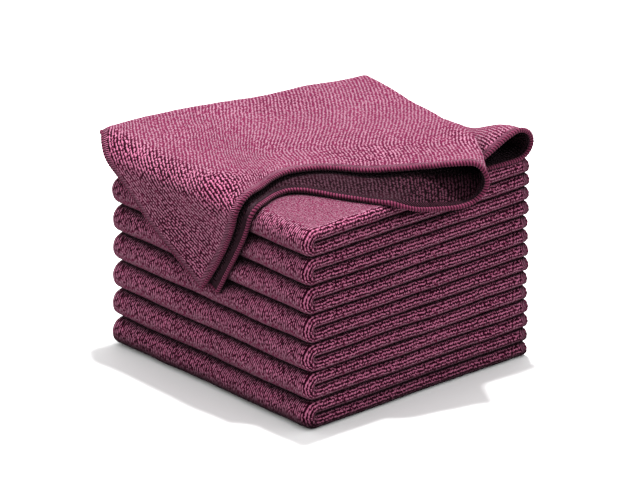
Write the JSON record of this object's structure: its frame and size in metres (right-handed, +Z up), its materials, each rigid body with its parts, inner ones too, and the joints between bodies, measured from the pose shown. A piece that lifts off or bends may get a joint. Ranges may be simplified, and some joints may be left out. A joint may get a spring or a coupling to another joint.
{
  "type": "quick dry towel",
  "caption": "Square stack of folded microfibre towels with overlocked edges, topped by one thrown over it that hangs a corner down the front.",
  "frame": {"origin": "centre of the stack's underside, on the surface it stands on", "axes": "+Z up; -Y is the side of the wrapped folds, over which the corner of the top towel hangs; +X is the side of the round folded arms"},
  "size_m": [0.2412, 0.2212, 0.1655],
  "materials": {
    "terry_cloth": "looped pile in fine ribs",
    "overlock_thread": "overlocked thread"
  },
  "bodies": {
    "towel_1": {"towel_1_cloth": "terry_cloth", "towel_1_hem": "overlock_thread"},
    "towel_2": {"towel_2_cloth": "terry_cloth", "towel_2_hem": "overlock_thread"},
    "towel_3": {"towel_3_cloth": "terry_cloth", "towel_3_hem": "overlock_thread"},
    "towel_4": {"towel_4_cloth": "terry_cloth", "towel_4_hem": "overlock_thread"},
    "towel_5": {"towel_5_cloth": "terry_cloth", "towel_5_hem": "overlock_thread"},
    "towel_6": {"towel_6_cloth": "terry_cloth", "towel_6_hem": "overlock_thread"},
    "towel_7": {"towel_7_cloth": "terry_cloth", "towel_7_hem": "overlock_thread"},
    "draped_towel": {"draped_towel_cloth": "terry_cloth", "draped_towel_hem": "overlock_thread"}
  },
  "joints": [
    {"name": "towel_2_lift", "type": "slide", "parent": "towel_1", "child": "towel_2", "axis": [0, 0, 1], "range_m": [0, 0.06]},
    {"name": "towel_3_lift", "type": "slide", "parent": "towel_2", "child": "towel_3", "axis": [0, 0, 1], "range_m": [0, 0.06]},
    {"name": "towel_4_lift", "type": "slide", "parent": "towel_3", "child": "towel_4", "axis": [0, 0, 1], "range_m": [0, 0.06]},
    {"name": "towel_5_lift", "type": "slide", "parent": "towel_4", "child": "towel_5", "axis": [0, 0, 1], "range_m": [0, 0.06]},
    {"name": "towel_6_lift", "type": "slide", "parent": "towel_5", "child": "towel_6", "axis": [0, 0, 1], "range_m": [0, 0.06]},
    {"name": "towel_7_lift", "type": "slide", "parent": "towel_6", "child": "towel_7", "axis": [0, 0, 1], "range_m": [0, 0.06]},
    {"name": "draped_towel_lift", "type": "slide", "parent": "towel_7", "child": "draped_towel", "axis": [0, 0, 1], "range_m": [0, 0.12]}
  ]
}
